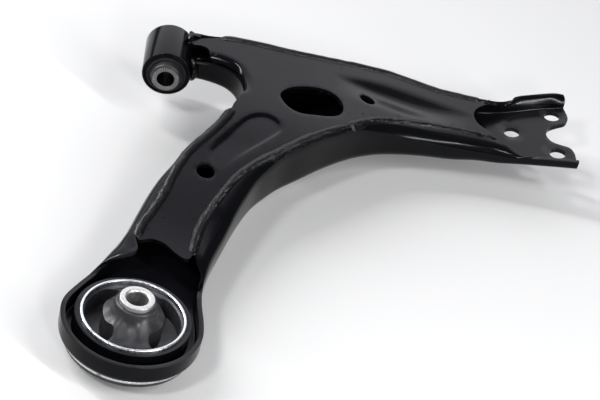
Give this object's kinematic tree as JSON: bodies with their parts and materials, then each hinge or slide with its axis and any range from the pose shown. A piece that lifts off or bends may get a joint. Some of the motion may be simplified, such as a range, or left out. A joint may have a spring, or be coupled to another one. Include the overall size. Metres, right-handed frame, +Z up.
{
  "type": "control arm",
  "caption": "Pressed-steel L-shaped suspension control arm with a vertical rubber bush, a horizontal rubber bush in a welded eye, and a drilled ball-joint plate.",
  "frame": {"origin": "centre of the footprint (bounding box in X and Y) at the lowest point, the bottom end of the rear bush's inner sleeve", "axes": "+Y runs along the arm's pivot side from the vertical rear bush towards the horizontal front eye; +X runs outboard to the ball-joint plate; +Z is up, along the rear bush's sleeve"},
  "size_m": [0.3662, 0.3868, 0.0682],
  "materials": {
    "black_coat": "semi-gloss black electro-coat over pressed steel",
    "weld_coat": "black electro-coat over weld bead",
    "zinc_steel": "bright zinc plate",
    "sleeve_steel": "machined steel",
    "bush_rubber": "satin black rubber"
  },
  "bodies": {
    "arm": {"lower_shell": "black_coat", "closing_plate": "black_coat", "front_eye_tube": "black_coat", "front_bush_outer_shell": "black_coat", "front_bush_rubber": "bush_rubber", "rear_bush_outer_shell": "zinc_steel", "rear_bush_rubber": "bush_rubber", "weld_outer_edge": "weld_coat", "weld_inner_edge_neck": "weld_coat", "weld_inner_edge_outboard": "weld_coat", "weld_far_edge": "weld_coat", "weld_eye_top": "weld_coat", "weld_eye_near": "weld_coat", "weld_eye_far": "weld_coat"},
    "front_sleeve": {"front_bush_inner_sleeve": "sleeve_steel"},
    "rear_sleeve": {"rear_bush_inner_sleeve": "sleeve_steel"}
  },
  "joints": [
    {"name": "front_bush_twist", "type": "hinge", "parent": "arm", "child": "front_sleeve", "pos_m": [-0.13649, 0.13307, 0.047], "axis": [0, 1, 0], "range_deg": [-20, 20], "stiffness_Nm_per_rad": 45, "deforming": ["front_bush_rubber"]},
    {"name": "rear_bush_tilt", "type": "hinge", "parent": "arm", "child": "rear_sleeve", "pos_m": [-0.13649, -0.14693, 0.024], "axis": [0, 1, 0], "range_deg": [-12, 12], "stiffness_Nm_per_rad": 90, "deforming": ["rear_bush_rubber"]}
  ]
}
